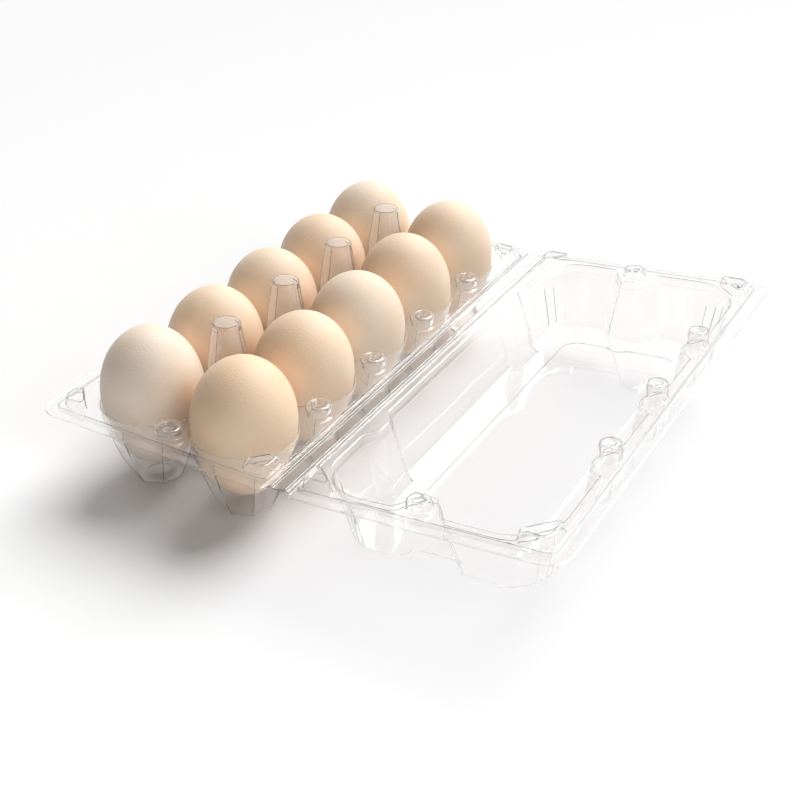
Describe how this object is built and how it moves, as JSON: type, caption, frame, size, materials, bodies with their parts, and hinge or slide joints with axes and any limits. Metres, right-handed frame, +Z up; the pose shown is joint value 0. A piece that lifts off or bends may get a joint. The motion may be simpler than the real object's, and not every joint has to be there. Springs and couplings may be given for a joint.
{
  "type": "egg carton",
  "caption": "Clear formed clamshell egg carton lying open: cupped tray holding eggs, twin-crease hinge strip and a bowl-shaped lid with snap studs.",
  "frame": {"origin": "middle of the open carton's bounding box, on the surface that the tray's cups stand on", "axes": "+X runs across the hinge from tray to lid, +Y along the hinge, +Z up out of the tray"},
  "size_m": [0.2374, 0.245, 0.0704],
  "materials": {
    "clear_sheet": "clear, smooth, glossy PET sheet",
    "eggshell": null
  },
  "bodies": {
    "tray": {"tray": "clear_sheet"},
    "hinge_strip": {"hinge_strip": "clear_sheet"},
    "lid": {"lid": "clear_sheet"},
    "egg_1": {"egg_1": "eggshell"},
    "egg_2": {"egg_2": "eggshell"},
    "egg_3": {"egg_3": "eggshell"},
    "egg_4": {"egg_4": "eggshell"},
    "egg_5": {"egg_5": "eggshell"},
    "egg_6": {"egg_6": "eggshell"},
    "egg_7": {"egg_7": "eggshell"},
    "egg_8": {"egg_8": "eggshell"},
    "egg_9": {"egg_9": "eggshell"},
    "egg_10": {"egg_10": "eggshell"}
  },
  "joints": [
    {"name": "tray_crease", "type": "hinge", "parent": "tray", "child": "hinge_strip", "pos_m": [-0.00569, 0, 0.0374], "axis": [0, 1, 0], "range_deg": [-94.8, 3]},
    {"name": "lid_crease", "type": "hinge", "parent": "hinge_strip", "child": "lid", "pos_m": [0.00526, 0, 0.03849], "axis": [0, 1, 0], "range_deg": [-79.51, 2.52]},
    {"name": "egg_1_lift", "type": "slide", "parent": "tray", "child": "egg_1", "axis": [0, 0, 1], "range_m": [0, 0.07]},
    {"name": "egg_2_lift", "type": "slide", "parent": "tray", "child": "egg_2", "axis": [0, 0, 1], "range_m": [0, 0.07]},
    {"name": "egg_3_lift", "type": "slide", "parent": "tray", "child": "egg_3", "axis": [0, 0, 1], "range_m": [0, 0.07]},
    {"name": "egg_4_lift", "type": "slide", "parent": "tray", "child": "egg_4", "axis": [0, 0, 1], "range_m": [0, 0.07]},
    {"name": "egg_5_lift", "type": "slide", "parent": "tray", "child": "egg_5", "axis": [0, 0, 1], "range_m": [0, 0.07]},
    {"name": "egg_6_lift", "type": "slide", "parent": "tray", "child": "egg_6", "axis": [0, 0, 1], "range_m": [0, 0.07]},
    {"name": "egg_7_lift", "type": "slide", "parent": "tray", "child": "egg_7", "axis": [0, 0, 1], "range_m": [0, 0.07]},
    {"name": "egg_8_lift", "type": "slide", "parent": "tray", "child": "egg_8", "axis": [0, 0, 1], "range_m": [0, 0.07]},
    {"name": "egg_9_lift", "type": "slide", "parent": "tray", "child": "egg_9", "axis": [0, 0, 1], "range_m": [0, 0.07]},
    {"name": "egg_10_lift", "type": "slide", "parent": "tray", "child": "egg_10", "axis": [0, 0, 1], "range_m": [0, 0.07]}
  ],
  "couplings": [
    {"joint": "lid_crease", "follows": "tray_crease", "ratio": 0.83861}
  ]
}
